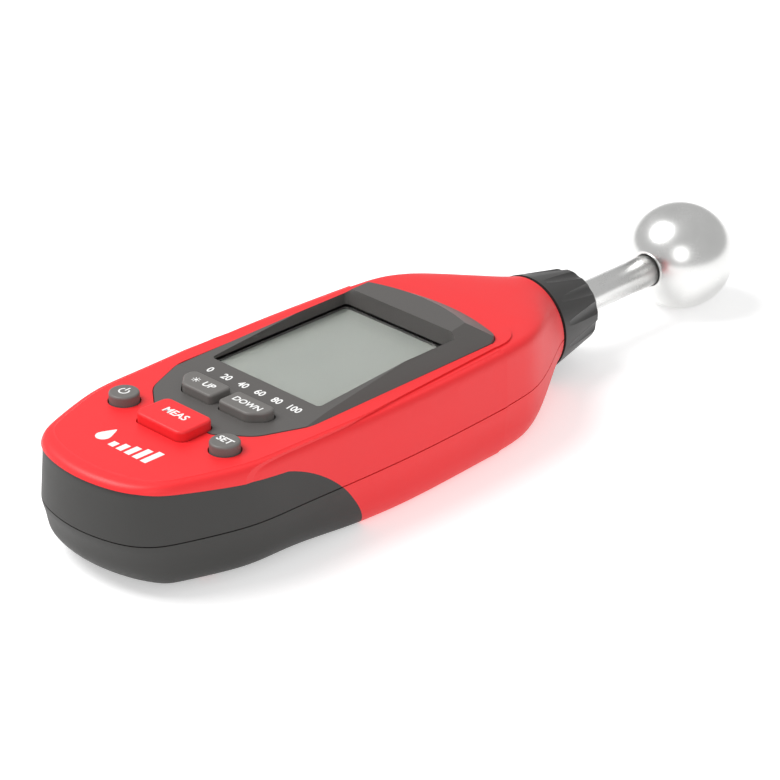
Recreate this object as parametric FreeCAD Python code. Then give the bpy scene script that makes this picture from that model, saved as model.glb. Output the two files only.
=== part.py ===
"""Pinless moisture meter: a two-part hand casing with a ball probe on a short rod.

Millimetres, +Z up. The pieces are drawn with X running from the tail of the casing (0) to the tip of
the ball, Y across the casing, and Z measured from the flat underside. They are written out with the
origin moved to the middle of the length. The rod's axis lies in the parting plane.
"""
import FreeCAD, Part
import os
from math import cos, hypot, pi, radians, sin

V = FreeCAD.Vector

# ---- driving dimensions -------------------------------------------------------------------------
LENGTH = 235.0            # tail to ball tip
SEAM_Z = 15.0             # parting plane, and the height of the rod's axis
SEAM_GAP = 0.30           # shadow line between the casing halves
TOP_Z = 30.2              # top face of the casing
CAP_RISE = 0.45           # how far the cap area stands above the rest of the upper half
WALL = 3.0                # casing wall, with the grip on it
GRIP_THICK = 1.2
LIP_Z = 16.5              # top of the lower half's locating lip
LIP_INSET = 2.1           # the lip's outer face, inside the parting line
LIP_THICK = 0.8

UPPER_DRAFT = 0.6
UPPER_EDGE = (2.2, 2.2)   # width and height of the rounding along the top
LOWER_DRAFT = 0.7
LOWER_EDGE = (9.0, 9.5)   # width and height of the rounding underneath, at the grips
TIGHT_SHARE = 0.42        # share of the lower rounding's width that is left past the grips
TIGHTEN_X = (50.0, 70.0)  # where the lower rounding tightens
UPPER_TAIL = 2.0          # the tail leans in and is rounded this many times more than the sides
LOWER_TAIL = 1.85

NECK_X = 118.0            # where the straight casing ends and the nose begins
NOSE_SOLID_X = 138.0      # inner end of the solid nose
NOSE_X = 157.0            # where the nose meets the probe collar
NOSE_R = 13.4
POCKET_HALF = 18.5        # pocket in the nose for the probe's nut
POCKET_Z = (4.6, 25.9)
NOSE_STEP = 0.14          # how far the nose sits inside the casing where it leaves it

BALL_R = 15.0
ROD_R = 4.4
ROD_START_X = 130.0
BUSH_R = 6.6
SEAL_THICK = 0.8
COLLAR_X = (NOSE_X + SEAL_THICK, 175.0)
COLLAR_R = (13.5, 9.9)
COLLAR_RIM = 2.0          # rounding at the rod end
FLUTES = 12
FLUTE_R = 2.6
FLUTE_DEPTH = 0.6         # depth of the flutes at the rod end
FLUTE_START = 3.0         # plain band before the flutes begin
NUT_R = 7.6               # across the nut's corners, halved
NUT_X = (133.0, 136.5)
WASHER_R = 8.0
SEAL_R = 12.7

WINDOW_X = (61.7, 108.3)
WINDOW_HALF = 19.0
WINDOW_Z = (29.9, 30.9)
LCD_Z = (27.5, 29.3)
LCD_LEDGE = 1.6           # how far the display glass reaches past the window opening
HOOD_Z = 35.8             # crest of the sun hood
EDGE_SLOPE = 1.4          # how far the bezel's edge leans in up to the hood's height
RAIL_FOOT = 24.0          # where the long side slopes start, and how far in they reach the crest
RAIL_SLOPE = 7.0
OPENING_CORNER = 1.2      # corner radius of the opening over the display
OPENING_FLARE = 0.8       # how much wider the opening is at the hood's height than at the display
HOOD_LEAN = 1.2           # how far the hood's inner wall leans back
BEZEL_Z = (26.6, 30.8)    # underside, and face round the buttons
FLANGE_Z = TOP_Z - WALL + 0.25    # top of the bezel's hidden flange
FLANGE = 0.8              # how far the bezel's hidden flange reaches past its face
BEZEL_GAP = 0.12
BOARD_Z = (20.2, 21.8)

BUTTON_X = 32.0           # power and set buttons
BUTTON_Y = 18.1
BUTTON_R = 3.8
BUTTON_TOP_Z = 33.2
MEASURE_TOP_Z = 33.3
FLANGE_TOP_Z = 26.4       # upper face of every button's flange
KEY_FLANGE = 0.8
STEM_Z = 24.5
STEM_R = 1.6
KEY_GAP = 0.35            # clearance round each button
SWITCH_TOP_Z = 23.5

BATTERY = (48.5, 26.5, 17.5)
BATTERY_X = 24.5
BATTERY_Z = 2.3
BAY_X = (22.1, 73.4)
BAY_HALF = 13.6
BAY_WALL = 1.2
COVER_X = (21.0, 74.3)
COVER_HALF = 15.2
COVER_Z = (0.2, 1.9)
CATCH_HALF = 5.0
COVER_GAP = 0.3
PIN_R = 0.65

SCREWS = [(24.0, -19.3), (24.0, 19.3), (131.5, -14.0), (131.5, 14.0)]
SCREW_HEAD_Z = (5.0, 7.0)
SCREW_R = 1.3
BOARD_SCREWS = [(56.4, -21.6), (56.4, 21.6), (113.6, -19.0), (113.6, 19.0)]

# Corners of one side of each outline, from the tail end to the probe end: (x, y, corner radius).
CAP_SIDE = [(-10.0, 28.4, 2.0), (42.0, 28.5, 40.0), (62.0, 29.0, 40.0), (129.0, 24.6, 9.0)]
BEZEL_SIDE = [(34.8, 10.2, 2.0), (41.5, 18.6, 9.0), (54.5, 23.9, 12.0), (121.6, 23.4, 6.0)]
MEASURE_SIDE = [(26.6, 8.7, 2.4), (37.5, 8.3, 2.0)]
BOARD_SIDE = [(28.5, 21.5, 2.0), (40.0, 23.4, 8.0), (116.0, 23.4, 2.0)]
UP_KEY = [(44.9, 1.2, 1.2), (52.1, 1.2, 1.2), (52.1, 14.9, 2.0), (48.4, 14.9, 2.6), (44.9, 11.6, 3.0)]
UP_STEM = (48.8, 8.0)
SWITCH_PLACES = [(BUTTON_X, -BUTTON_Y), (BUTTON_X, BUTTON_Y), (BUTTON_X, 0.0),
                 (UP_STEM[0], -UP_STEM[1]), UP_STEM]
BEZEL_REAR_X = 127.3      # crown of the hood's bowed rear edge
REAR_R = 58.0             # radius of that bow, seen from above
REAR_SLOPE = 9.8          # how far the hood's crest lies in front of its rear edge

# Seam outline of the casing, from the neck round to the middle of the tail: (x, half width).
HALF_OUTLINE = [
    (NECK_X, 29.4), (100.0, 30.4), (82.0, 30.9), (62.0, 30.5), (44.0, 29.8), (32.0, 29.1),
    (22.0, 26.6), (13.5, 23.6), (7.9, 20.9), (4.0, 16.8), (1.2, 9.8), (0.0, 0.0),
]

# Half widths that carry the nose a little way into the casing: (x, half width).
NOSE_ROOT = [(114.0, 29.65), (117.0, 29.47), (120.0, 29.15)]

# Sections of the nose: (x, half width in the parting plane, top z, bottom z).
NOSE_STATIONS = [
    (124.5, 28.45, 30.1, 0.1), (130.0, 27.4, 30.05, 0.2), (136.0, 25.1, 29.95, 0.35),
    (142.0, 21.9, 29.7, 0.6), (148.0, 18.3, 29.3, 0.95), (153.0, 15.3, 28.8, 1.3),
]
NOSE_BLEND = 3.0          # how late the nose turns round: the power of the share of its length


# ---- helpers ------------------------------------------------------------------------------------
def box(x0, x1, y0, y1, z0, z1):
    return Part.makeBox(x1 - x0, y1 - y0, z1 - z0, V(x0, y0, z0))


def upright(x, y, radius, z0, z1):
    """A cylinder standing along Z."""
    return Part.makeCylinder(radius, z1 - z0, V(x, y, z0))


def along_x(radius, x0, x1, y=0.0, z=SEAM_Z):
    """A cylinder lying along X."""
    return Part.makeCylinder(radius, x1 - x0, V(x0, y, z), V(1, 0, 0))


def rounded_outline(corners, z):
    """A closed wire of straight sides joined by arcs; each corner is (x, y, radius)."""
    count = len(corners)
    arcs = []
    for i in range(count):
        here = V(corners[i][0], corners[i][1], z)
        before = V(*corners[i - 1][:2], z) - here
        after = V(*corners[(i + 1) % count][:2], z) - here
        before.normalize()
        after.normalize()
        half_turn = before.getAngle(after) / 2
        reach = corners[i][2] / abs(sin(half_turn) / cos(half_turn))
        middle = before + after
        middle.normalize()
        centre = here + middle * (corners[i][2] / sin(half_turn))
        arcs.append((here + before * reach, centre - middle * corners[i][2], here + after * reach))
    edges = []
    for i in range(count):
        start, top, end = arcs[i]
        edges.append(Part.Arc(start, top, end).toShape())
        edges.append(Part.makeLine(end, arcs[(i + 1) % count][0]))
    return Part.Wire(edges)


def plate(wire, height):
    return Part.Face(wire).extrude(V(0, 0, height))


def offset_plate(corners, grow, z0, z1):
    wire = rounded_outline(corners, z0)
    if grow:
        wire = wire.makeOffset2D(grow)
    return plate(wire, z1 - z0)


def both_sides(corners):
    """Corners of one side (y > 0), from the tail end to the probe end, closed by their mirror."""
    return corners + [(x, -y, r) for x, y, r in reversed(corners)]


def union(shapes):
    return shapes[0].multiFuse(shapes[1:])


def one_solid(shape):
    return max(shape.Solids, key=lambda solid: solid.Volume)


# ---- casing form --------------------------------------------------------------------------------
def upper_levels():
    """Levels of the casing's side: a drafted wall and a rounded upper edge."""
    return wall_and_edge(TOP_Z, UPPER_DRAFT, UPPER_EDGE, 6, (0, 30, 60, 90))


def lower_levels():
    """Levels below the parting plane: a short wall and a deep rounded lower edge."""
    return wall_and_edge(0.0, LOWER_DRAFT, LOWER_EDGE, 2, (0, 22, 44, 64, 80, 90))


def wall_and_edge(end_z, draft, edge, wall_steps, angles):
    """A list of (z, draft so far, rounding so far), from the parting plane outwards."""
    upward = 1 if end_z > SEAM_Z else -1
    width, height = edge
    start_z = end_z - upward * height
    levels = []
    for i in range(wall_steps):
        share = i / wall_steps
        levels.append((SEAM_Z + (start_z - SEAM_Z) * share, draft * share, 0.0))
    for angle in angles:
        turn = radians(angle)
        levels.append((start_z + upward * height * sin(turn), draft, width * (1 - cos(turn))))
    return levels


def edge_share(x, upper):
    """Share of the rounding's width: underneath, it tightens where the grips end."""
    if upper:
        return 1.0
    start, end = TIGHTEN_X
    way = min(max((x - start) / (end - start), 0.0), 1.0)
    return 1.0 - (1.0 - TIGHT_SHARE) * way * way * (3 - 2 * way)


def seam_normals():
    """Outward direction at each point of the half outline."""
    normals = []
    last = len(HALF_OUTLINE) - 1
    for i, _ in enumerate(HALF_OUTLINE):
        (x0, y0), (x1, y1) = HALF_OUTLINE[max(i - 1, 0)], HALF_OUTLINE[min(i + 1, last)]
        length = hypot(x1 - x0, y1 - y0)
        normals.append(((y1 - y0) / length, (x0 - x1) / length))
    normals[0] = (0.0, 1.0)
    normals[last] = (-1.0, 0.0)
    return normals


def casing_slice(z, draft, rounding, inset, upper):
    """Horizontal slice of the casing, ended by a straight edge at the neck."""
    tail = UPPER_TAIL if upper else LOWER_TAIL
    half = []
    for (x, y), (nx, ny) in zip(HALF_OUTLINE, seam_normals()):
        form = draft + rounding * edge_share(x, upper)
        half.append((x - nx * (form * tail + inset), y - ny * (form + inset)))
    points = [V(x, y, z) for x, y in half] + [V(x, -y, z) for x, y in reversed(half[:-1])]
    curve = Part.BSplineCurve()
    curve.interpolate(points)
    return Part.Wire([curve.toShape(), Part.makeLine(points[-1], points[0])])


def casing_block(levels, inset, upper):
    """The straight part of one casing half; a positive inset shrinks it all round."""
    end_z = levels[-1][0] - inset * (1 if upper else -1)
    wires = []
    for z, draft, rounding in levels:
        share = (z - SEAM_Z) / (levels[-1][0] - SEAM_Z)
        wires.append(casing_slice(SEAM_Z + (end_z - SEAM_Z) * share, draft, rounding, inset, upper))
    return Part.makeLoft(wires, True, False, False, 3)


def nose_section(x, half_width, crown_z, levels, roundness):
    """Half section of the nose: the casing's own profile blended into the collar's circle."""
    height = crown_z - SEAM_Z
    full = levels[-1][0] - SEAM_Z
    share = edge_share(x, full > 0)
    profile = [(half_width - draft - rounding * share, (z - SEAM_Z) / full * height)
               for z, draft, rounding in levels]
    edge = profile[-1][0]
    profile += [(edge * way, height) for way in (0.975, 0.94, 0.88, 0.78, 0.6, 0.4, 0.2, 0.0)]
    points = []
    for i, (y, z) in enumerate(profile):
        turn = pi / 2 * i / (len(profile) - 1)
        round_y = half_width * cos(turn)
        round_z = height * sin(turn)
        points.append((y + (round_y - y) * roundness, z + (round_z - z) * roundness))
    side = [V(x, y, SEAM_Z + z) for y, z in points]
    side += [V(x, -y, SEAM_Z + z) for y, z in reversed(points[:-1])]
    curve = Part.BSplineCurve()
    curve.interpolate(side)
    return Part.Wire([curve.toShape(), Part.makeLine(side[-1], side[0])])


def casing_nose(levels, inset, upper):
    """The nose of one casing half, from the neck to the collar."""
    grow = -inset if upper else inset
    inner = -NOSE_STEP if upper else NOSE_STEP
    wires = [nose_section(x, half_width - inset - NOSE_STEP, levels[-1][0] + grow + inner, levels, 0.0)
             for x, half_width in NOSE_ROOT]
    for x, half_width, top_z, bottom_z in NOSE_STATIONS:
        roundness = ((x - NECK_X) / (NOSE_X - NECK_X)) ** NOSE_BLEND
        crown = (top_z if upper else bottom_z) + grow
        wires.append(nose_section(x, half_width - inset, crown, levels, roundness))
    end = SEAM_Z + (NOSE_R - inset) * (1 if upper else -1)
    wires.append(nose_section(NOSE_X, NOSE_R - inset, end, levels, 1.0))
    return Part.makeLoft(wires, True, False, False, 3)


def casing(upper, inset):
    """One solid casing half, shrunk all round by the inset."""
    levels = upper_levels() if upper else lower_levels()
    return union([casing_block(levels, inset, upper), casing_nose(levels, inset, upper)])


def grip_zone():
    """The region of the grips: everything behind and below one curved line on the casing's side."""
    far, low = -5.0, -3.0
    peak, bulge, foot = V(42.0, -60, 25.3), V(58.0, -60, 15.8), V(69.0, -60, low)
    start = V(5.0, -60, 28.6)
    corners = [foot, V(far, -60, low), V(far, -60, start.z), start, peak]
    edges = [Part.makeLine(p, q) for p, q in zip(corners, corners[1:])]
    edges.append(Part.Arc(peak, bulge, foot).toShape())
    return Part.Face(Part.Wire(edges)).extrude(V(0, 120, 0))


def cap_area():
    """Vertical prism round the raised area of the upper half."""
    return offset_plate(both_sides(CAP_SIDE), 0, SEAM_Z + 3, TOP_Z + 5)


def cavity(upper):
    """The hollow behind the neck, and a plain pocket for the probe's nut in the root of the nose."""
    levels = upper_levels() if upper else lower_levels()
    hollow = casing_block(levels, WALL, upper)
    return hollow.fuse(box(NECK_X - 4, NOSE_SOLID_X, -POCKET_HALF, POCKET_HALF, *POCKET_Z))


def seam_half(upper, gap):
    """Everything above or below the parting plane, past the gap."""
    if upper:
        return box(-10, 170, -50, 50, SEAM_Z + gap, 60)
    return box(-10, 170, -50, 50, -20, SEAM_Z - gap)


def seam_ring(inset, z0, z1):
    """Upright prism on the parting plane's outline, as far as the neck."""
    return plate(casing_slice(z0, 0.0, 0.0, inset, True), z1 - z0)


# ---- keys ---------------------------------------------------------------------------------------
def mirrored(corners):
    return [(x, -y, r) for x, y, r in reversed(corners)]


def key_outlines():
    return {
        "up_button": UP_KEY,
        "down_button": mirrored(UP_KEY),
        "measure_button": both_sides(MEASURE_SIDE),
    }


def key_holes():
    holes = [offset_plate(corners, KEY_GAP, 20, 40) for corners in key_outlines().values()]
    holes += [upright(BUTTON_X, side * BUTTON_Y, BUTTON_R + KEY_GAP, 20, 40) for side in (-1, 1)]
    return holes


def softened(key, top_z, radius):
    """Round the rim of a key's top face."""
    rim = [edge for edge in key.Edges
           if abs(edge.BoundBox.ZMin - top_z) < 1e-6 and abs(edge.BoundBox.ZMax - top_z) < 1e-6]
    return key.makeFillet(radius, rim)


def stem(x, y):
    return upright(x, y, STEM_R, STEM_Z, FLANGE_TOP_Z)


def shaped_key(corners, top_z, stem_x, stem_y):
    body = softened(offset_plate(corners, 0, FLANGE_TOP_Z - 1, top_z), top_z, 0.7)
    flange = offset_plate(corners, KEY_FLANGE, FLANGE_TOP_Z - 1, FLANGE_TOP_Z)
    return union([body, flange, stem(stem_x, stem_y)])


def round_key(side):
    y = side * BUTTON_Y
    body = softened(upright(BUTTON_X, y, BUTTON_R, FLANGE_TOP_Z - 1, BUTTON_TOP_Z), BUTTON_TOP_Z, 0.6)
    flange = upright(BUTTON_X, y, BUTTON_R + KEY_FLANGE, FLANGE_TOP_Z - 1, FLANGE_TOP_Z)
    return union([body, flange, stem(BUTTON_X, y)])


def keys():
    outlines = key_outlines()
    return {
        "power_button": round_key(1),
        "set_button": round_key(-1),
        "measure_button": shaped_key(outlines["measure_button"], MEASURE_TOP_Z, BUTTON_X, 0.0),
        "up_button": shaped_key(outlines["up_button"], BUTTON_TOP_Z, *UP_STEM),
        "down_button": shaped_key(outlines["down_button"], BUTTON_TOP_Z, UP_STEM[0], -UP_STEM[1]),
    }


# ---- casing halves ------------------------------------------------------------------------------
def upper_half():
    """Upper shell and the grip moulded on its tail."""
    zone = grip_zone()
    outer = casing(True, 0.0)
    skin = zone.cut(casing(True, GRIP_THICK))
    keep = seam_half(True, SEAM_GAP / 2)
    grip = outer.common(skin).common(keep)
    cap = casing(True, -CAP_RISE).common(cap_area()).cut(zone)
    groove = seam_ring(LIP_INSET - 0.1, SEAM_Z - 1, LIP_Z + SEAM_GAP)
    shell = outer.fuse(cap).cut(skin).cut(cavity(True)).cut(groove)
    bosses = [upright(x, y, 3.2, SEAM_Z, FLANGE_Z + 1) for x, y in SCREWS]
    shell = shell.multiFuse(bosses).common(keep)
    bores = [upright(x, y, SCREW_R, SEAM_Z, FLANGE_Z - 1) for x, y in SCREWS]
    opening = offset_plate(both_bezel(), BEZEL_GAP, 20, 40)
    rebate = offset_plate(both_bezel(), FLANGE + BEZEL_GAP, BEZEL_Z[0] - 1, FLANGE_Z)
    shell = shell.cut(bores + [opening, rebate, along_x(BUSH_R, 100, NOSE_X + 1)] + key_holes())
    return one_solid(shell), one_solid(grip)


def cover_recess():
    x0, x1 = COVER_X[0] - COVER_GAP, COVER_X[1] + COVER_GAP
    half = COVER_HALF + COVER_GAP
    pin_holes = Part.makeCylinder(PIN_R + 0.1, 2 * (COVER_HALF + 2.0), V(*pin_axis()), V(0, 1, 0))
    slot = box(COVER_X[1] - 1.3, x1 + 0.1, -CATCH_HALF - 0.4, CATCH_HALF + 0.4, -1, 5)
    bay = box(*BAY_X, -BAY_HALF, BAY_HALF, -1, SEAM_Z + 5)
    return [box(x0, x1, -half, half, -1, COVER_Z[1] + 0.15), pin_holes, slot, bay]


def pin_axis():
    """Near end of the cover's hinge line."""
    thickness = COVER_Z[1] - COVER_Z[0]
    return COVER_X[0] + thickness / 2, -(COVER_HALF + 2.0), COVER_Z[0] + thickness / 2


def lower_half():
    """Lower shell and the grip moulded on its tail."""
    zone = grip_zone()
    outer = casing(False, 0.0)
    skin = zone.cut(casing(False, GRIP_THICK))
    keep = seam_half(False, SEAM_GAP / 2)
    lip = seam_ring(LIP_INSET, SEAM_Z - 2, LIP_Z)
    lip = lip.cut(seam_ring(LIP_INSET + LIP_THICK, SEAM_Z - 3, LIP_Z + 1))
    grip = outer.common(skin).common(keep)
    shell = outer.cut(skin).cut(cavity(False)).common(keep)
    half = BAY_HALF + BAY_WALL
    walls = box(BAY_X[0] - BAY_WALL, BAY_X[1] + BAY_WALL, -half, half, 1.5, SEAM_Z - SEAM_GAP)
    bosses = [upright(x, y, 3.6, 1.8, SEAM_Z - SEAM_GAP / 2) for x, y in SCREWS]
    inner = union([walls] + bosses).common(casing(False, WALL - 0.8))
    shell = shell.multiFuse([lip, inner])
    holes = [upright(x, y, SCREW_R + 0.1, -1, 20) for x, y in SCREWS]
    holes += [upright(x, y, 2.7, -1, SCREW_HEAD_Z[1]) for x, y in SCREWS]
    holes += cover_recess() + [along_x(BUSH_R, 100, NOSE_X + 1)]
    return one_solid(shell.cut(holes)), one_solid(grip.cut(holes))


# ---- display ------------------------------------------------------------------------------------
def both_bezel():
    """Closed outline of the bezel, with the crown of its rear edge in the middle."""
    return BEZEL_SIDE + [(BEZEL_REAR_X, 0.0, 60.0)] + mirrored(BEZEL_SIDE)


def hood_profile():
    """Side view of the bezel's upper surface, extruded across the casing."""
    y0 = -40
    crest_x = BEZEL_REAR_X - REAR_SLOPE
    rise = (HOOD_Z - BEZEL_Z[1] - 0.8) / (crest_x - WINDOW_X[0])
    end_x = BEZEL_REAR_X + 1
    points = [V(30, y0, BEZEL_Z[0]), V(30, y0, BEZEL_Z[1]), V(54.0, y0, BEZEL_Z[1]),
              V(WINDOW_X[0], y0, BEZEL_Z[1] + 0.8), V(end_x, y0, HOOD_Z + rise * (end_x - crest_x)),
              V(end_x, y0, BEZEL_Z[0])]
    return Part.Face(Part.makePolygon(points + points[:1])).extrude(V(0, 80, 0))


def sloped_frame(z0, z1, slope):
    """The bezel's outline drawn in by the slope as it rises."""
    low = rounded_outline(both_bezel(), z0)
    high = low.copy().makeOffset2D(-slope)
    high.translate(V(0, 0, z1 - z0))
    return Part.makeLoft([low, high], True, True)


def side_slopes():
    """Prism whose two flanks fall from the hood's crest to the bezel's long edges."""
    top = HOOD_Z + 1
    crest_y = RAIL_FOOT - RAIL_SLOPE * (top - TOP_Z) / (HOOD_Z - TOP_Z)
    points = [V(0, -RAIL_FOOT, TOP_Z), V(0, -crest_y, top), V(0, crest_y, top), V(0, RAIL_FOOT, TOP_Z)]
    return Part.Face(Part.makePolygon(points + points[:1])).extrude(V(LENGTH, 0, 0))


def rear_cone():
    """Shallow cone whose flank is the hood's bowed rear slope."""
    height = HOOD_Z - TOP_Z
    run = REAR_SLOPE / height
    low = TOP_Z - CAP_RISE
    top = HOOD_Z + 1
    return Part.makeCone(REAR_R + run * CAP_RISE, REAR_R - run * (top - TOP_Z), top - low,
                         V(BEZEL_REAR_X - REAR_R, 0, low))


def window_opening():
    """Opening over the display, flared upwards, with its far wall leaning back."""
    x0, x1 = WINDOW_X
    floor = [(x0, WINDOW_HALF, OPENING_CORNER), (x1, WINDOW_HALF, OPENING_CORNER)]
    rim_half = WINDOW_HALF + OPENING_FLARE
    rim = [(x0, rim_half, OPENING_CORNER), (x1 + HOOD_LEAN, rim_half, OPENING_CORNER)]
    levels = [(floor, LCD_Z[1] - 0.2), (rim, HOOD_Z + 1)]
    return Part.makeLoft([rounded_outline(both_sides(corners), z) for corners, z in levels], True, True)


def display_bezel():
    base = offset_plate(both_bezel(), 0, BEZEL_Z[0], TOP_Z)
    raised = sloped_frame(TOP_Z, HOOD_Z + 0.5, EDGE_SLOPE).common(rear_cone()).common(side_slopes())
    flange = offset_plate(both_bezel(), FLANGE, BEZEL_Z[0], FLANGE_Z)
    frame = base.fuse(raised).common(hood_profile()).fuse(flange)
    posts = [upright(x, y, 2.1, BOARD_Z[1], FLANGE_Z) for x, y in BOARD_SCREWS]
    x0, x1 = WINDOW_X
    rebate = box(x0 - 1, x1 + 1, -WINDOW_HALF - 1, WINDOW_HALF + 1, *WINDOW_Z)
    pocket = box(x0 - LCD_LEDGE, x1 + LCD_LEDGE, -WINDOW_HALF - LCD_LEDGE,
                 WINDOW_HALF + LCD_LEDGE, 20, LCD_Z[1])
    tap = [upright(x, y, 0.8, BOARD_Z[1] - 1, FLANGE_Z) for x, y in BOARD_SCREWS]
    return one_solid(frame.multiFuse(posts).cut([window_opening(), rebate, pocket] + tap + key_holes()))


def display_parts():
    x0, x1 = WINDOW_X
    half = WINDOW_HALF
    window = box(x0 - 1, x1 + 1, -half - 1, half + 1, *WINDOW_Z)
    glass = box(x0 - 1.5, x1 + 1.5, -half - 1.5, half + 1.5, *LCD_Z)
    light = box(x0 + 2.5, x1 - 1, -half, half, 24.6, LCD_Z[0])
    strip = box(x0 - 1.0, x0 + 1.0, -half + 1, half - 1, BOARD_Z[1], LCD_Z[0])
    frame = box(x0 - 1.5, x1 + 1.5, -half - 1.5, half + 1.5, BOARD_Z[1], LCD_Z[0])
    hollow = box(x0 + 2.5, x1 - 1, -half, half, BOARD_Z[1] + 1, LCD_Z[0] + 1)
    slot = box(x0 - 1.0, x0 + 1.0, -half + 1, half - 1, BOARD_Z[1] - 1, LCD_Z[0] + 1)
    return {
        "display_window": window,
        "display_glass": glass,
        "backlight_panel": light,
        "contact_strip": strip,
        "display_frame": frame.cut([hollow, slot]),
    }


# ---- electronics --------------------------------------------------------------------------------
def group(shapes):
    return Part.makeCompound(shapes)


def electronics():
    z0, z1 = BOARD_Z
    board = offset_plate(both_sides(BOARD_SIDE), 0, z0, z1)
    board = board.cut([upright(x, y, 1.1, 0, 40) for x, y in BOARD_SCREWS])
    switches = [union([box(x - 3, x + 3, y - 3, y + 3, z1, z1 + 1.1),
                       upright(x, y, 1.5, z1 + 1.0, SWITCH_TOP_Z)]) for x, y in SWITCH_PLACES]
    screws = [union([upright(x, y, 0.78, z0 - 0.2, FLANGE_Z - 1), upright(x, y, 1.8, z0 - 1.4, z0)])
              for x, y in BOARD_SCREWS]
    chips = [box(x, x + w, y, y + w, z0 - 1.2, z0) for x, y, w in ((92, -16, 5), (100, 9, 5), (92, 9, 4))]
    capacitors = [upright(x, y, 2.5, z0 - 6.5, z0) for x, y in ((104, -12), (104, -18))]
    return {
        "main_board": board,
        "key_switches": group(switches),
        "board_screws": group(screws),
        "main_chip": box(74, 86, -6, 6, z0 - 1.5, z0),
        "small_chips": group(chips),
        "capacitors": group(capacitors),
        "clock_crystal": box(76, 87, -14, -10, z0 - 3.5, z0),
        "beeper": upright(80, 14, 6.0, z0 - 5.5, z0),
        "calibration_trimmer": box(94, 100, -8, -2, z0 - 4.5, z0),
        "measuring_coil": upright(108, 0, 5.0, z0 - 7.0, z0).cut(upright(108, 0, 2.0, z0 - 8, z0 + 1)),
    }


# ---- battery ------------------------------------------------------------------------------------
def battery_parts():
    length, width, height = BATTERY
    cell = box(BATTERY_X, BATTERY_X + length, -width / 2, width / 2, BATTERY_Z, BATTERY_Z + height)
    cell = cell.makeFillet(1.5, [e for e in cell.Edges if e.BoundBox.XLength > length - 1])
    snap = box(BATTERY_X - 2.2, BATTERY_X, -12.5, 12.5, BATTERY_Z + 1, BATTERY_Z + height - 1)
    return {"battery": cell, "battery_snap": snap}


def battery_cover():
    x0, x1 = COVER_X
    z0, z1 = COVER_Z
    edge_r = (z1 - z0) / 2
    plate_body = box(x0 + edge_r, x1, -COVER_HALF, COVER_HALF, z0, z1)
    knuckle = Part.makeCylinder(edge_r, 2 * COVER_HALF, V(x0 + edge_r, -COVER_HALF, z0 + edge_r), V(0, 1, 0))
    pin = Part.makeCylinder(PIN_R, 2 * (COVER_HALF + 1.6), V(x0 + edge_r, -COVER_HALF - 1.6, z0 + edge_r),
                            V(0, 1, 0))
    catch = box(x1 - 1.0, x1 - 0.1, -CATCH_HALF, CATCH_HALF, z1 - 0.5, 4.2)
    ribs = [box(x, x + 0.9, -7, 7, z0 - 1, z0 + 0.5) for x in (x1 - 9.2, x1 - 7.0, x1 - 4.8)]
    return union([plate_body, knuckle, pin, catch]).cut(ribs)


# ---- probe --------------------------------------------------------------------------------------
def probe_collar():
    """Tapered collar with a rounded far rim and shallow flutes that open towards the rod."""
    x0, x1 = COLLAR_X
    r0, r1 = COLLAR_R
    cone = Part.makeCone(r0, r1 + 0.25, x1 - x0, V(x0, 0, SEAM_Z), V(1, 0, 0))
    rim = [edge for edge in cone.Edges if edge.BoundBox.XMin > x1 - 0.01]
    cone = cone.makeFillet(COLLAR_RIM, rim)
    start_x = x0 + FLUTE_START
    slope = (r0 - r1) / (x1 - x0)
    start_r = r0 - slope * (start_x - x0) + FLUTE_R
    end_r = r1 + FLUTE_R - FLUTE_DEPTH
    along = V(x1 - start_x, 0, end_r - start_r)
    flutes = []
    for i in range(FLUTES):
        flute = Part.makeCylinder(FLUTE_R, along.Length + 4, V(start_x, 0, start_r), along)
        flute.rotate(V(0, 0, 0), V(1, 0, 0), 360.0 * (i + 0.5) / FLUTES)
        flute.translate(V(0, 0, SEAM_Z))
        flutes.append(flute)
    return cone.cut(flutes + [along_x(ROD_R, x0 - 1, x1 + 1)])


def probe_parts():
    ball_x = LENGTH - BALL_R
    ball = Part.makeSphere(BALL_R, V(ball_x, 0, SEAM_Z))
    rod = along_x(ROD_R, ROD_START_X, ball_x - 8)
    nut_x0, nut_x1 = NUT_X
    turns = [radians(60.0 * i) for i in range(7)]
    corners = [V(nut_x0, NUT_R * cos(turn), SEAM_Z + NUT_R * sin(turn)) for turn in turns]
    nut = Part.Face(Part.makePolygon(corners)).extrude(V(nut_x1 - nut_x0, 0, 0))
    hollow = along_x(ROD_R, 120, NOSE_X + SEAL_THICK)
    return {
        "probe_ball": ball.cut(rod),
        "probe_rod": rod,
        "probe_collar": probe_collar(),
        "collar_seal": along_x(SEAL_R, NOSE_X, NOSE_X + SEAL_THICK).cut(hollow),
        "probe_bush": along_x(BUSH_R, NOSE_SOLID_X, NOSE_X).cut(hollow),
        "probe_nut": nut.cut(hollow),
        "probe_washer": along_x(WASHER_R, nut_x1, NOSE_SOLID_X).cut(hollow),
    }


def casing_screws():
    head0, head1 = SCREW_HEAD_Z
    screws = [union([upright(x, y, SCREW_R - 0.02, head1, FLANGE_Z - 2),
                     upright(x, y, 2.5, head0, head1).cut(cross_slot(x, y, head0))]) for x, y in SCREWS]
    return group(screws)


def cross_slot(x, y, z):
    arm = box(x - 1.6, x + 1.6, y - 0.3, y + 0.3, z - 1, z + 0.9)
    return arm.fuse(box(x - 0.3, x + 0.3, y - 1.6, y + 1.6, z - 1, z + 0.9))


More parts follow.
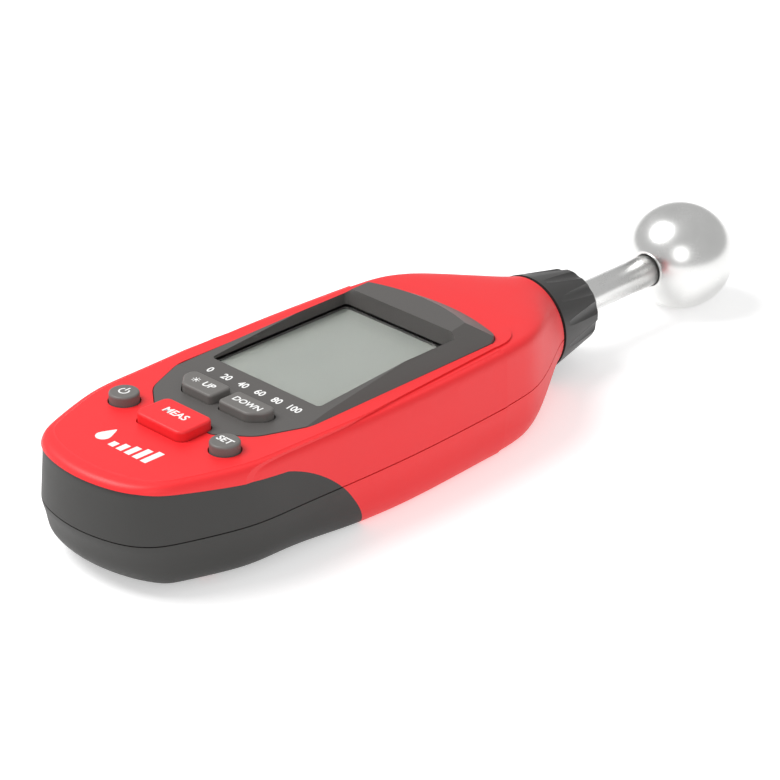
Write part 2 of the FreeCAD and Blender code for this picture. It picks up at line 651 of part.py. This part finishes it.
def main():
    upper_shell, upper_grip = upper_half()
    lower_shell, lower_grip = lower_half()
    nodes = {
        "upper_shell": upper_shell,
        "upper_grip": upper_grip,
        "lower_shell": lower_shell,
        "lower_grip": lower_grip,
        "display_bezel": display_bezel(),
        "battery_cover": battery_cover(),
        "casing_screws": casing_screws(),
    }
    for parts in (display_parts(), keys(), electronics(), battery_parts(), probe_parts()):
        nodes.update(parts)
    os.makedirs("parts", exist_ok=True)
    for name, shape in nodes.items():
        shape.translate(V(-LENGTH / 2, 0, 0))
        shape.exportStep("parts/" + name + ".step")


main()
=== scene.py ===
"""Looks of a hand-held moisture meter with a ball probe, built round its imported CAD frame."""

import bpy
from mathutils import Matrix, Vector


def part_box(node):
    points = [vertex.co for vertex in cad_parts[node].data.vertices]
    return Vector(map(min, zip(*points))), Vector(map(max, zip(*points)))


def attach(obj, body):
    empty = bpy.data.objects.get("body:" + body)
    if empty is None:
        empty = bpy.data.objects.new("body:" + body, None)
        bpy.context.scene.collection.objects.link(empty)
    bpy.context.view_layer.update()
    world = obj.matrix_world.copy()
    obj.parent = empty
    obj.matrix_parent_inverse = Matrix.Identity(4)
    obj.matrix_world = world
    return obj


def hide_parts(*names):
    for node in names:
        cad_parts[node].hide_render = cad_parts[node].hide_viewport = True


bl_info = {
    "name": "Moisture Meter Looks",
    "version": (1, 0, 0),
    "blender": (4, 5, 0),
    "location": "3D View > Sidebar > Meter",
    "description": "Moulded, printed and polished finishes for a ball-probe moisture meter",
    "category": "Object",
}

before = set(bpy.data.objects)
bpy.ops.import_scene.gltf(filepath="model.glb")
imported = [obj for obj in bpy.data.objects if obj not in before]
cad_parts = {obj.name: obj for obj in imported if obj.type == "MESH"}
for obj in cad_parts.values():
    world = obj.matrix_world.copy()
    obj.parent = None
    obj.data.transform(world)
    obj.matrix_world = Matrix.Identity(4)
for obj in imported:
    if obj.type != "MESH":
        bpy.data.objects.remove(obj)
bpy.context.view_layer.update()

import math

import bmesh
import bpy
from bpy.props import FloatProperty, FloatVectorProperty, PointerProperty
from mathutils import Matrix, Vector

MM = 0.001
FULL_TURN = 2 * math.pi
CAPITAL_SHARE = 0.70      # height of a capital as a share of the font's size
EMBLEM_X = 17.2 * MM      # middle of the emblem, from the tail
SCALE_GAP = 3.4 * MM      # middle of the scale's figures, from the display window
SCALE_MARGIN = 5.0 * MM   # how far the outer figures' middles lie inside the window's sides
MEASURE_SHIFT = 0.6 * MM  # the measure key's word lies this far towards the display
EMBLEM_BARS = 5
LAMP_RAYS = 8
BORDER = 2.1 * MM         # width of the dark frame on the display glass
BORDER_THICK = 0.08 * MM
MOUTH_EASE = 0.5 * MM     # softening of the ball's edge round the rod
ROD_EASE = 0.4 * MM       # softening of the rod's ends
BALL_ARCS = 64            # steps along the ball's profile
BALL_STEPS = 128          # steps round the ball
LATHE_STRETCH = (5.0, 1.0, 1.0)
CAMERA_TARGET = (-17.5 * MM, 0.0, 18.45 * MM)
CAMERA_SHIFT = (0.019, -0.0125)
WORLD_LIGHT = 0.58


# ---- settings -----------------------------------------------------------------------------------
def colour(name, description, default):
    return FloatVectorProperty(name=name, description=description, default=default, size=3,
                               min=0.0, max=1.0, subtype="COLOR")


def distance(name, description, default):
    return FloatProperty(name=name, description=description, default=default, min=0.0,
                         unit="LENGTH", precision=5)


def angle(name, description, default):
    return FloatProperty(name=name, description=description, default=math.radians(default),
                         unit="ROTATION")


class MeterColours(bpy.types.PropertyGroup):
    casing: colour("Casing", "Moulded colour of the two casing shells", (0.83, 0.024, 0.029))
    grip: colour("Grip", "Colour of the overmoulded grips", (0.034, 0.033, 0.031))
    bezel: colour("Bezel", "Moulded colour of the display bezel", (0.094, 0.089, 0.085))
    key: colour("Key", "Moulded colour of the grey keys", (0.148, 0.141, 0.134))
    collar: colour("Collar", "Moulded colour of the probe collar", (0.043, 0.042, 0.041))
    sign_white: colour("Signs", "Colour of the printed signs", (0.86, 0.86, 0.85))
    display: colour("Display", "Colour of the resting display", (0.40, 0.415, 0.385))
    metal: colour("Metal", "Colour of the polished probe", (0.79, 0.79, 0.78))


class MeterSigns(bpy.types.PropertyGroup):
    letter_height: distance("Letters", "Height of the capitals on the keys", 2.35 * MM)
    figure_height: distance("Figures", "Height of the figures of the scale", 2.1 * MM)
    film: distance("Film", "Thickness of the printed ink that stands proud", 0.035 * MM)
    emblem_height: distance("Emblem", "Height of the drop", 6.2 * MM)


class MeterStage(bpy.types.PropertyGroup):
    azimuth: angle("Azimuth", "Direction of the camera from the tail end, towards the right side", 45.12)
    elevation: angle("Elevation", "Height of the camera above the floor", 26.64)
    reach: distance("Distance", "Distance from the camera to its target", 0.8069)
    lens: FloatProperty(name="Lens", description="Focal length", default=146.2, unit="CAMERA")
    floor_size: distance("Floor", "Width of the floor", 6.0)


# ---- shader maths -------------------------------------------------------------------------------
class Value:
    """A node socket that is written in Python arithmetic."""

    def __init__(self, finish, socket):
        self.finish = finish
        self.socket = socket

    def maths(self, operation, *inputs):
        return self.finish.node("ShaderNodeMath", {"operation": operation}, dict(enumerate(inputs)))

    def __add__(self, other):
        return self.maths("ADD", self, other)

    def __sub__(self, other):
        return self.maths("SUBTRACT", self, other)

    def __rsub__(self, other):
        return self.maths("SUBTRACT", other, self)

    def __mul__(self, other):
        return self.maths("MULTIPLY", self, other)

    __radd__ = __add__
    __rmul__ = __mul__


def socket_name(word):
    """The shader's own name for an argument, such as Base Color for base_color."""
    return word.replace("_", " ").title().replace("Ior", "IOR")


class Finish:
    """A procedural material: one Principled shader and the nodes that feed it."""

    def __init__(self, name, base, **constants):
        self.material = bpy.data.materials.new(name)
        self.material.use_nodes = True
        self.tree = self.material.node_tree
        self.shader = self.tree.nodes["Principled BSDF"]
        self.shader.inputs["Base Color"].default_value = tuple(base) + (1.0,)
        for socket, value in constants.items():
            self.shader.inputs[socket_name(socket)].default_value = value
        self.place = self.node("ShaderNodeTexCoord", output="Object")

    def node(self, kind, settings=None, inputs=None, output=0):
        made = self.tree.nodes.new(kind)
        for key, value in (settings or {}).items():
            setattr(made, key, value)
        for key, value in (inputs or {}).items():
            if isinstance(value, Value):
                self.tree.links.new(value.socket, made.inputs[key])
            else:
                made.inputs[key].default_value = value
        return Value(self, made.outputs[output])

    def feed(self, **values):
        for socket, value in values.items():
            self.tree.links.new(value.socket, self.shader.inputs[socket_name(socket)])

    def noise(self, size, detail=2.0, roughness=0.5, place=None):
        """Noise from 0 to 1 whose features are about size metres across."""
        return self.node("ShaderNodeTexNoise", {"noise_dimensions": "3D"},
                         {"Vector": place or self.place, "Scale": 1.0 / size, "Detail": detail,
                          "Roughness": roughness})

    def blend(self, mask, low, high):
        """A colour that runs from low to high as the mask goes from 0 to 1."""
        return self.node("ShaderNodeMix", {"data_type": "RGBA"},
                         {"Factor": mask, 6: tuple(low) + (1.0,), 7: tuple(high) + (1.0,)}, output=2)

    def bump(self, height, depth, strength=1.0):
        self.feed(normal=self.node("ShaderNodeBump", None,
                                   {"Height": height, "Distance": depth, "Strength": strength}))


def shade(base, share):
    return tuple(min(1.0, channel * share) for channel in base)


def wear(object_, finish):
    object_.data.materials.clear()
    object_.data.materials.append(finish.material)


# ---- finishes -----------------------------------------------------------------------------------
def moulded_plastic(name, base, rough=0.42, grain=0.35 * MM, depth=0.012 * MM, specular=0.36):
    """Satin moulded plastic: fine spark-eroded grain, faint flow mottling, slightly uneven sheen."""
    finish = Finish(name, base, roughness=rough, specular_ior_level=specular)
    flow = finish.noise(14 * MM, detail=3.0)
    speck = finish.noise(grain, detail=3.0, roughness=0.6)
    finish.feed(base_color=finish.blend(flow * 0.5 + speck * 0.5, shade(base, 0.93), shade(base, 1.06)))
    finish.feed(roughness=flow * 0.10 + speck * 0.10 + (rough - 0.10))
    finish.bump(speck, depth)
    return finish


def soft_rubber(name, base):
    """Overmoulded rubber: matt, with a slightly coarser grain and faint handling marks."""
    finish = Finish(name, base, roughness=0.55, specular_ior_level=0.42)
    speck = finish.noise(0.30 * MM, detail=4.0, roughness=0.65)
    smudge = finish.noise(9 * MM, detail=4.0, roughness=0.6)
    finish.feed(base_color=finish.blend(smudge * 0.6 + speck * 0.4, shade(base, 0.86), shade(base, 1.14)))
    finish.feed(roughness=smudge * 0.16 + speck * 0.08 + 0.42)
    finish.bump(speck, 0.018 * MM)
    return finish


def clear_window(name):
    """Clear acrylic with a hard glossy face and a trace of dust."""
    finish = Finish(name, (0.97, 0.98, 0.97), roughness=0.04, transmission_weight=1.0, ior=1.12)
    dust = finish.noise(6 * MM, detail=5.0)
    finish.feed(roughness=dust * 0.05 + 0.02)
    return finish


def resting_display(name, base):
    """Display glass with its segments off: a soft cloud and the fine lattice of the cells."""
    finish = Finish(name, base, roughness=0.25)
    cloud = finish.noise(30 * MM)
    cells = finish.noise(0.6 * MM, detail=1.0)
    finish.feed(base_color=finish.blend(cloud * 0.8 + cells * 0.2, shade(base, 0.93), shade(base, 1.06)))
    finish.feed(roughness=cloud * 0.10 + 0.20)
    return finish


def polished_metal(name, base, rough, stretch):
    """Turned and polished metal: very fine rings left by the lathe, seen mostly in its gloss."""
    finish = Finish(name, base, metallic=1.0, roughness=rough, anisotropic=0.3)
    lathe = finish.node("ShaderNodeMapping", None, {"Vector": finish.place, "Scale": stretch})
    rings = finish.noise(0.5 * MM, detail=3.0, place=lathe)
    smear = finish.noise(7 * MM, detail=3.0)
    finish.feed(base_color=finish.blend(smear * 0.7 + rings * 0.3, shade(base, 0.86), shade(base, 1.08)))
    finish.feed(roughness=rings * 0.06 + smear * 0.08 + (rough - 0.06))
    finish.bump(rings, 0.002 * MM)
    return finish


def plated_metal(name, base, rough=0.32):
    """Small plated or drawn metal parts: cloudy plating with fine scratches."""
    finish = Finish(name, base, metallic=1.0, roughness=rough)
    cloud = finish.noise(2.5 * MM, detail=4.0)
    scratch = finish.noise(0.15 * MM, detail=2.0)
    finish.feed(base_color=finish.blend(cloud, shade(base, 0.82), shade(base, 1.08)))
    finish.feed(roughness=cloud * 0.15 + scratch * 0.10 + (rough - 0.10))
    finish.bump(scratch, 0.004 * MM)
    return finish


def wound_wire(name, base):
    """Enamelled wire wound round the vertical axis: the windings carry a slight painted highlight and the
    valleys between them painted shade.
    """
    finish = Finish(name, base, metallic=0.8, roughness=0.3, coat_weight=0.4, coat_roughness=0.1)
    windings_and_valley_shade = finish.node("ShaderNodeTexWave", {"wave_type": "BANDS", "bands_direction": "Z"},
                        {"Vector": finish.place, "Scale": 0.16 / (0.5 * MM), "Distortion": 0.6})
    # painted shade and highlight: the wave mask darkens the wire's colour to about a third in the valleys
    # between windings and lightens it a little on the crests
    finish.feed(base_color=finish.blend(windings_and_valley_shade, shade(base, 0.35), shade(base, 1.1)))
    finish.bump(windings_and_valley_shade, 0.08 * MM)
    return finish


def circuit_board(name, base):
    """Solder mask over copper: tracks and filled areas show as a lighter green."""
    finish = Finish(name, base, roughness=0.35, coat_weight=0.5, coat_roughness=0.15)
    tracks = finish.node("ShaderNodeTexBrick", {"offset": 0.5, "offset_frequency": 2},
                         {"Vector": finish.place, "Scale": 1.0 / (6 * MM), "Mortar Size": 0.04},
                         output=1)
    cloud = finish.noise(4 * MM, detail=2.0)
    finish.feed(base_color=finish.blend(tracks * 0.7 + cloud * 0.3, shade(base, 0.8), shade(base, 2.2)))
    finish.feed(roughness=cloud * 0.12 + 0.28)
    finish.bump(tracks, 0.03 * MM)
    return finish


def printed_ink(name, base):
    """Pad-printed ink: opaque, slightly uneven in thickness."""
    finish = Finish(name, base, roughness=0.5, specular_ior_level=0.3)
    patchy = finish.noise(0.4 * MM, detail=3.0)
    finish.feed(base_color=finish.blend(patchy, shade(base, 0.93), shade(base, 1.04)))
    finish.feed(roughness=patchy * 0.2 + 0.4)
    return finish


def settings():
    return bpy.context.scene.meter_colours


def wear_all(finish, *names):
    for name in names:
        wear(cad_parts[name], finish)


# ---- mesh helpers -------------------------------------------------------------------------------
def node_box(name):
    low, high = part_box(name)
    return Vector(low), Vector(high)


def add_piece(name, shape, finish, body, smooth=True):
    """Turn a bmesh into a finished object that rides on a body."""
    mesh = bpy.data.meshes.new(name)
    shape.to_mesh(mesh)
    shape.free()
    for face in mesh.polygons:
        face.use_smooth = smooth
    piece = bpy.data.objects.new(name, mesh)
    bpy.context.collection.objects.link(piece)
    mesh.materials.append(finish.material)
    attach(piece, body)
    return piece


def turned(profile, height, steps=96):
    """Spin a profile of (x, radius) about the probe's axis, and close any end left open."""
    shape = bmesh.new()
    points = [shape.verts.new((x, 0.0, height + radius)) for x, radius in profile]
    edges = [shape.edges.new(pair) for pair in zip(points, points[1:])]
    bmesh.ops.spin(shape, geom=points + edges, cent=(0.0, 0.0, height), axis=(1.0, 0.0, 0.0),
                   angle=FULL_TURN, steps=steps, use_merge=True)
    bmesh.ops.remove_doubles(shape, verts=shape.verts, dist=0.001 * MM)
    bmesh.ops.holes_fill(shape, edges=shape.edges, sides=0)
    bmesh.ops.recalc_face_normals(shape, faces=shape.faces)
    return shape


def lettering(text, height):
    """Plain capitals or figures as a flat shape, centred, reading along +X with its top at +Y."""
    curve = bpy.data.curves.new("letters", "FONT")
    curve.body = text
    curve.align_x = "CENTER"
    curve.align_y = "CENTER"
    curve.size = height / CAPITAL_SHARE
    curve.offset = 0.03 * height
    curve.resolution_u = 4
    holder = bpy.data.objects.new("letters", curve)
    bpy.context.collection.objects.link(holder)
    bpy.context.view_layer.update()
    graph = bpy.context.evaluated_depsgraph_get()
    mesh = bpy.data.meshes.new_from_object(holder.evaluated_get(graph))
    shape = bmesh.new()
    shape.from_mesh(mesh)
    bpy.data.objects.remove(holder)
    bpy.data.curves.remove(curve)
    bpy.data.meshes.remove(mesh)
    bmesh.ops.remove_doubles(shape, verts=shape.verts, dist=0.0005 * MM)
    return shape


def flat_ring(outer, width, segments=48, opening=0.0):
    """A flat ring, with an opening of the given angle centred on +Y."""
    shape = bmesh.new()
    half = opening / 2
    start = [shape.verts.new((radius * math.sin(half), radius * math.cos(half), 0.0))
             for radius in (outer - width, outer)]
    edge = shape.edges.new(start)
    bmesh.ops.spin(shape, geom=start + [edge], cent=(0, 0, 0), axis=(0, 0, -1),
                   angle=FULL_TURN - opening, steps=segments, use_merge=opening == 0.0)
    return shape


def flat_bar(x, y, width, height):
    """A flat rectangle centred on (x, y)."""
    shape = bmesh.new()
    bmesh.ops.create_grid(shape, x_segments=1, y_segments=1, size=0.5)
    bmesh.ops.scale(shape, verts=shape.verts, vec=(width, height, 1.0))
    bmesh.ops.translate(shape, verts=shape.verts, vec=(x, y, 0.0))
    return shape


def flat_drop(height):
    """A water drop: a disc whose upper half is drawn out to a point."""
    shape = bmesh.new()
    radius = height * 0.32
    bmesh.ops.create_circle(shape, cap_ends=True, segments=48, radius=radius)
    for vert in shape.verts:
        if vert.co.y > 0:
            rise = vert.co.y / radius
            vert.co.x *= 1.0 - 0.55 * rise * rise
            vert.co.y *= 1.0 + 1.15 * rise
    return shape


def joined(shapes):
    """One bmesh from several, which are freed."""
    whole = bmesh.new()
    for shape in shapes:
        mesh = bpy.data.meshes.new("part")
        shape.to_mesh(mesh)
        shape.free()
        whole.from_mesh(mesh)
        bpy.data.meshes.remove(mesh)
    return whole


def moved(shape, x, y):
    bmesh.ops.translate(shape, verts=shape.verts, vec=(x, y, 0.0))
    return shape


def thickened(shape, thickness):
    """Raise a copy of a flat shape above it and wall the edges, so that it is closed."""
    flat = list(shape.faces)
    raised = bmesh.ops.extrude_face_region(shape, geom=flat, use_keep_orig=True)["geom"]
    lifted = [item for item in raised if isinstance(item, bmesh.types.BMVert)]
    bmesh.ops.translate(shape, verts=lifted, vec=(0, 0, thickness))
    bmesh.ops.recalc_face_normals(shape, faces=shape.faces)


def print_on(name, shape, node, x, y, finish, body, film):
    """Turn a flat sign to face the user, lay it on a node's upper surface and thicken it."""
    to_user = Matrix.Rotation(-math.pi / 2, 3, "Z")
    bmesh.ops.rotate(shape, verts=shape.verts, cent=(0, 0, 0), matrix=to_user)
    bmesh.ops.translate(shape, verts=shape.verts, vec=(x, y, 0.0))
    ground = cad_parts[node]
    for vert in shape.verts:
        above = Vector((vert.co.x, vert.co.y, 100 * MM))
        hit, place, _, _ = ground.ray_cast(above, Vector((0, 0, -1)))
        if not hit:
            raise RuntimeError(name + " lies off " + node)
        vert.co.z = place.z - film / 2
    thickened(shape, film * 1.5)
    return add_piece(name, shape, finish, body, smooth=False)


# ---- operators ----------------------------------------------------------------------------------
class METER_OT_casing(bpy.types.Operator):
    """Finish the casing shells, the grips, the bezel, the battery cover and the screws"""
    bl_idname = "meter.casing"
    bl_label = "Casing"

    def execute(self, context):
        chosen = settings()
        wear_all(moulded_plastic("casing_red", chosen.casing, rough=0.42), "upper_shell", "lower_shell")
        wear_all(soft_rubber("grip_dark", chosen.grip), "upper_grip", "lower_grip")
        wear_all(moulded_plastic("cover_dark", chosen.grip, rough=0.46), "battery_cover")
        wear_all(moulded_plastic("bezel_dark", chosen.bezel, rough=0.40, grain=0.5 * MM,
                                 depth=0.02 * MM), "display_bezel")
        wear_all(plated_metal("screw_zinc", (0.62, 0.62, 0.64)), "casing_screws", "board_screws",
                 "probe_washer")
        return {"FINISHED"}


class METER_OT_keys(bpy.types.Operator):
    """Finish the five keys"""
    bl_idname = "meter.keys"
    bl_label = "Keys"

    def execute(self, context):
        chosen = settings()
        grey = moulded_plastic("key_grey", chosen.key, rough=0.42, grain=0.25 * MM)
        red = moulded_plastic("key_red", chosen.casing, rough=0.42, grain=0.25 * MM)
        wear_all(grey, "power_button", "set_button", "up_button", "down_button")
        wear_all(red, "measure_button")
        return {"FINISHED"}


class METER_OT_signs(bpy.types.Operator):
    """Print the plain words on the keys, the emblem on the tail and the scale under the display"""
    bl_idname = "meter.signs"
    bl_label = "Signs"

    def execute(self, context):
        signs = context.scene.meter_signs
        ink = printed_ink("sign_ink", settings().sign_white)
        self.key_signs(ink, signs)
        self.emblem(ink, signs)
        self.scale(ink, signs)
        return {"FINISHED"}

    def on_key(self, name, shape, key, ink, signs, shift=0.0):
        low, high = node_box(key)
        middle = (low + high) / 2
        print_on(name, shape, key, middle.x + shift, middle.y, ink, key, signs.film)

    def key_signs(self, ink, signs):
        tall = signs.letter_height
        power = [flat_ring(tall * 0.62, tall * 0.17, opening=math.radians(70)),
                 flat_bar(0, tall * 0.50, tall * 0.17, tall * 0.72)]
        self.on_key("power_sign", joined(power), "power_button", ink, signs)
        self.on_key("set_sign", lettering("SET", tall * 0.9), "set_button", ink, signs)
        self.on_key("measure_sign", lettering("MEAS", tall), "measure_button", ink, signs,
                    MEASURE_SHIFT)
        self.on_key("down_sign", lettering("DOWN", tall * 0.84), "down_button", ink, signs)
        word = moved(lettering("UP", tall * 0.92), tall * 0.95, 0.0)
        lamp = moved(self.lamp(tall), -tall * 0.95, 0.0)
        sign = joined([word, lamp])
        self.on_key("up_sign", sign, "up_button", ink, signs)

    def lamp(self, tall):
        """A small shining lamp: a disc with rays round it."""
        parts = [flat_ring(tall * 0.20, tall * 0.19, 24)]
        for i in range(LAMP_RAYS):
            ray = flat_bar(0, tall * 0.40, tall * 0.09, tall * 0.20)
            turn = Matrix.Rotation(FULL_TURN * i / LAMP_RAYS, 3, "Z")
            bmesh.ops.rotate(ray, verts=ray.verts, cent=(0, 0, 0), matrix=turn)
            parts.append(ray)
        return joined(parts)

    def emblem(self, ink, signs):
        """A drop and five rising bars, between the keys and the tail."""
        tall = signs.emblem_height
        parts = [moved(flat_drop(tall), -7.6 * MM, -0.9 * MM)]
        for i in range(EMBLEM_BARS):
            height = tall * (0.36 + 0.16 * i)
            parts.append(flat_bar((-2.6 + 2.9 * i) * MM, (height - tall) / 2, 1.9 * MM, height))
        low, _ = node_box("upper_grip")
        print_on("emblem", joined(parts), "upper_shell", low.x + EMBLEM_X, 0.0, ink, "casing",
                 signs.film)

    def scale(self, ink, signs):
        """Plain figures from 0 to 100 along the edge of the display."""
        figures = ("0", "20", "40", "60", "80", "100")
        low, high = node_box("display_window")
        step = (high.y - low.y - 2 * SCALE_MARGIN) / (len(figures) - 1)
        parts = []
        for i, figure in enumerate(figures):
            along = (i - (len(figures) - 1) / 2) * step
            parts.append(moved(lettering(figure, signs.figure_height), along, 0.0))
        print_on("scale_figures", joined(parts), "display_bezel", low.x - SCALE_GAP, 0.0, ink,
                 "casing", signs.film)


class METER_OT_display(bpy.types.Operator):
    """Finish the window, the display and its dark border"""
    bl_idname = "meter.display"
    bl_label = "Display"

    def execute(self, context):
        chosen = settings()
        wear_all(clear_window("window_clear"), "display_window")
        wear_all(resting_display("display_grey", chosen.display), "display_glass")
        wear_all(moulded_plastic("frame_grey", (0.40, 0.39, 0.38)), "display_frame")
        wear_all(moulded_plastic("diffuser_white", (0.80, 0.81, 0.79), rough=0.6), "backlight_panel")
        wear_all(soft_rubber("elastomer_grey", (0.22, 0.22, 0.23)), "contact_strip")
        self.border()
        return {"FINISHED"}

    def border(self):
        """Dark frame printed on the display glass just outside the window's opening; its slight pink tint
        is a painted reflection of the red casing.
        """
        low, high = node_box("display_glass")
        shape = bmesh.new()
        bmesh.ops.create_grid(shape, x_segments=1, y_segments=1, size=0.5)
        size = high - low
        bmesh.ops.scale(shape, verts=shape.verts, vec=(size.x, size.y, 1.0))
        middle = (low + high) / 2
        bmesh.ops.translate(shape, verts=shape.verts, vec=(middle.x, middle.y, high.z))
        rim = bmesh.ops.inset_individual(shape, faces=list(shape.faces), thickness=BORDER,
                                         depth=0.0)
        centre = [face for face in shape.faces if face not in set(rim["faces"])]
        bmesh.ops.delete(shape, geom=centre, context="FACES")
        thickened(shape, BORDER_THICK)
        # dark print, with a slight pink tint that is a painted reflection of the red casing
        border = moulded_plastic("border_dark", (0.10, 0.085, 0.095), rough=0.35)
        add_piece("display_border", shape, border, "casing", smooth=False)


class METER_OT_electronics(bpy.types.Operator):
    """Finish the board, its parts, the battery and its snap"""
    bl_idname = "meter.electronics"
    bl_label = "Electronics"

    def execute(self, context):
        wear_all(circuit_board("board_green", (0.02, 0.13, 0.06)), "main_board")
        wear_all(moulded_plastic("switch_black", (0.03, 0.03, 0.03), rough=0.5), "key_switches",
                 "beeper", "battery_snap")
        wear_all(moulded_plastic("chip_black", (0.02, 0.02, 0.022), rough=0.6), "main_chip",
                 "small_chips")
        wear_all(plated_metal("can_metal", (0.72, 0.73, 0.75), rough=0.28), "capacitors", "clock_crystal")
        wear_all(moulded_plastic("trimmer_blue", (0.03, 0.09, 0.36), rough=0.4), "calibration_trimmer")
        wear_all(wound_wire("coil_copper", (0.72, 0.32, 0.14)), "measuring_coil")
        wear_all(moulded_plastic("battery_wrap", (0.05, 0.05, 0.055), rough=0.3), "battery")
        return {"FINISHED"}


class METER_OT_probe(bpy.types.Operator):
    """Turn the ball and the rod, and finish the collar and the inner probe parts"""
    bl_idname = "meter.probe"
    bl_label = "Probe"

    def execute(self, context):
        chosen = settings()
        wear_all(moulded_plastic("collar_dark", chosen.collar, rough=0.36), "probe_collar")
        wear_all(soft_rubber("seal_black", (0.015, 0.015, 0.015)), "collar_seal")
        wear_all(moulded_plastic("bush_white", (0.78, 0.78, 0.74), rough=0.5), "probe_bush")
        wear_all(plated_metal("nut_brass", (0.75, 0.55, 0.24)), "probe_nut")
        self.ball(polished_metal("ball_polished", chosen.metal, 0.25, LATHE_STRETCH))
        self.rod(polished_metal("rod_polished", chosen.metal, 0.27, LATHE_STRETCH))
        return {"FINISHED"}

    def ball(self, metal):
        """A turned ball with a small softened mouth where the rod is pressed in."""
        low, high = node_box("probe_ball")
        rod_low, rod_high = node_box("probe_rod")
        radius = (high.z - low.z) / 2
        middle = Vector((high.x - radius, 0.0, low.z + radius))
        mouth = (rod_high.z - rod_low.z) / 2
        start = math.asin((mouth + MOUTH_EASE) / radius)
        depth = math.cos(start) * radius
        profile = [(rod_high.x, mouth), (middle.x - depth + 2 * MOUTH_EASE, mouth),
                   (middle.x - depth + 0.4 * MOUTH_EASE, mouth + 0.25 * MOUTH_EASE)]
        for i in range(BALL_ARCS + 1):
            turn = start + (math.pi - start) * i / BALL_ARCS
            profile.append((middle.x - math.cos(turn) * radius, math.sin(turn) * radius))
        ball = turned(profile, middle.z, BALL_STEPS)
        piece = add_piece("ball", ball, metal, "casing")
        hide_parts("probe_ball")

    def rod(self, metal):
        low, high = node_box("probe_rod")
        radius = (high.z - low.z) / 2
        profile = [(low.x, 0.0), (low.x, radius - ROD_EASE), (low.x + ROD_EASE, radius),
                   (high.x - ROD_EASE, radius), (high.x, radius - ROD_EASE), (high.x, 0.0)]
        rod = turned(profile, (low.z + high.z) / 2)
        piece = add_piece("rod", rod, metal, "casing")
        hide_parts("probe_rod")


class METER_OT_stage(bpy.types.Operator):
    """Lay the floor, place the soft lights and the camera"""
    bl_idname = "meter.stage"
    bl_label = "Stage"

    def execute(self, context):
        stage = context.scene.meter_stage
        scene = context.scene
        scene.view_settings.view_transform = "Standard"
        self.floor(stage)
        self.world(scene)
        self.lights()
        self.camera(scene, stage)
        return {"FINISHED"}

    def floor(self, stage):
        mesh = bpy.data.meshes.new("floor")
        shape = bmesh.new()
        bmesh.ops.create_grid(shape, x_segments=1, y_segments=1, size=stage.floor_size / 2)
        shape.to_mesh(mesh)
        shape.free()
        floor = bpy.data.objects.new("floor", mesh)
        bpy.context.collection.objects.link(floor)
        pale = Finish("floor_pale", (0.80, 0.80, 0.80), roughness=0.9, specular_ior_level=0.0,
                      emission_color=(1.0, 1.0, 1.0, 1.0), emission_strength=0.42)
        mesh.materials.append(pale.material)

    def world(self, scene):
        scene.world = bpy.data.worlds.new("studio")
        scene.world.use_nodes = True
        back = scene.world.node_tree.nodes["Background"]
        back.inputs["Color"].default_value = (1.0, 1.0, 1.0, 1.0)
        back.inputs["Strength"].default_value = WORLD_LIGHT

    def lights(self):
        soft_light("overhead", (-0.45, 0.50, 1.0), (0.0, 0.0, 0.0), 0.8, 11.5)
        soft_light("front_fill", (-0.9, -0.9, 0.7), (0.0, 0.0, 0.02), 0.9, 3.0)

    def camera(self, scene, stage):
        data = bpy.data.cameras.new("camera")
        camera = bpy.data.objects.new("camera", data)
        scene.collection.objects.link(camera)
        data.lens = stage.lens
        data.sensor_width = 36.0
        data.clip_start = 0.01
        data.clip_end = 50.0
        level = math.cos(stage.elevation)
        back = Vector((-math.cos(stage.azimuth) * level, -math.sin(stage.azimuth) * level,
                       math.sin(stage.elevation)))
        camera.location = Vector(CAMERA_TARGET) + back * stage.reach
        camera.rotation_euler = (-back).to_track_quat("-Z", "Y").to_euler()
        data.shift_x, data.shift_y = CAMERA_SHIFT
        scene.camera = camera


def soft_light(name, place, target, size, power):
    data = bpy.data.lights.new(name, "AREA")
    data.shape = "DISK"
    data.size = size
    data.energy = power
    light = bpy.data.objects.new(name, data)
    light.location = place
    light.rotation_euler = (Vector(target) - Vector(place)).to_track_quat("-Z", "Y").to_euler()
    bpy.context.collection.objects.link(light)


class METER_PT_panel(bpy.types.Panel):
    """Lists the meter's settings and the operators that build it"""
    bl_idname = "METER_PT_panel"
    bl_label = "Moisture Meter"
    bl_space_type = "VIEW_3D"
    bl_region_type = "UI"
    bl_category = "Meter"

    def draw(self, context):
        for group in (context.scene.meter_colours, context.scene.meter_signs, context.scene.meter_stage):
            for name in group.bl_rna.properties.keys():
                if name not in ("rna_type", "name"):
                    self.layout.prop(group, name)
        for operator in OPERATORS:
            self.layout.operator(operator.bl_idname)


OPERATORS = (METER_OT_casing, METER_OT_keys, METER_OT_signs, METER_OT_display, METER_OT_electronics,
             METER_OT_probe, METER_OT_stage)
CLASSES = (MeterColours, MeterSigns, MeterStage) + OPERATORS + (METER_PT_panel,)


def register():
    for item in CLASSES:
        bpy.utils.register_class(item)
    bpy.types.Scene.meter_colours = PointerProperty(type=MeterColours)
    bpy.types.Scene.meter_signs = PointerProperty(type=MeterSigns)
    bpy.types.Scene.meter_stage = PointerProperty(type=MeterStage)


def unregister():
    del bpy.types.Scene.meter_stage
    del bpy.types.Scene.meter_signs
    del bpy.types.Scene.meter_colours
    for item in reversed(CLASSES):
        bpy.utils.unregister_class(item)


def main():
    register()
    for operator in OPERATORS:
        group, name = operator.bl_idname.split(".")
        getattr(getattr(bpy.ops, group), name)()


if __name__ == "__main__":
    main()
